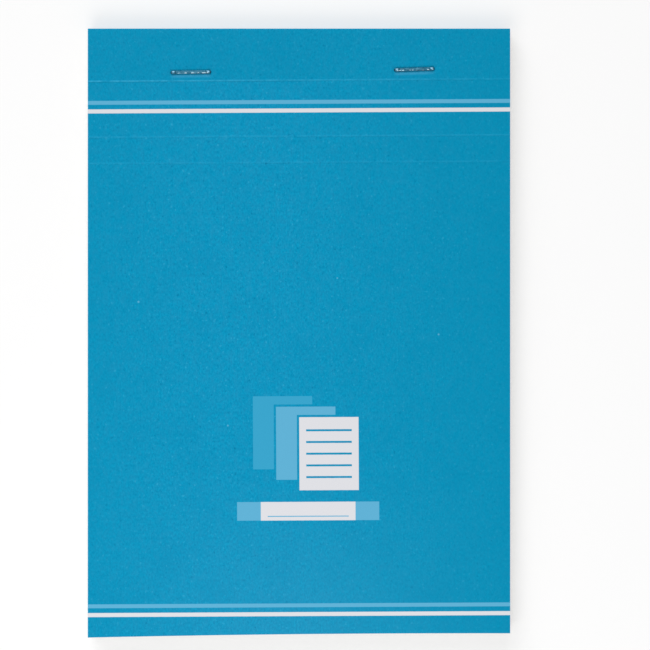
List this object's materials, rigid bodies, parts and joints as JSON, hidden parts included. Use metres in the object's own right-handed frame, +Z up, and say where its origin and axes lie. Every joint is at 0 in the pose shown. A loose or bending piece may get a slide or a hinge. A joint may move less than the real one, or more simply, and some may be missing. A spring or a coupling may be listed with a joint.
{
  "type": "legal pad",
  "caption": "Head-stapled A5 writing pad with a card cover folded round the head, tear-off sheets and a backing board.",
  "frame": {"origin": "under the middle of the pad, on the surface that its back lies on", "axes": "+Z up out of the front cover, +Y along the pad towards the stapled head, +X to the right seen from the front"},
  "size_m": [0.148, 0.2134, 0.0092],
  "materials": {
    "cover_card": "satin",
    "paper_sheets": "matte",
    "chipboard": "matte",
    "staple_wire": "satin"
  },
  "bodies": {
    "pad": {"head_wrap": "cover_card", "sheets": "paper_sheets", "back_board": "chipboard", "staple_left": "staple_wire", "staple_right": "staple_wire"},
    "cover": {"front_cover": "cover_card"}
  },
  "joints": [
    {"name": "cover_opening", "type": "hinge", "parent": "pad", "child": "cover", "pos_m": [0, 0.08855, 0.0089], "axis": [-1, -0.0061, 0], "range_deg": [0, 165]}
  ]
}
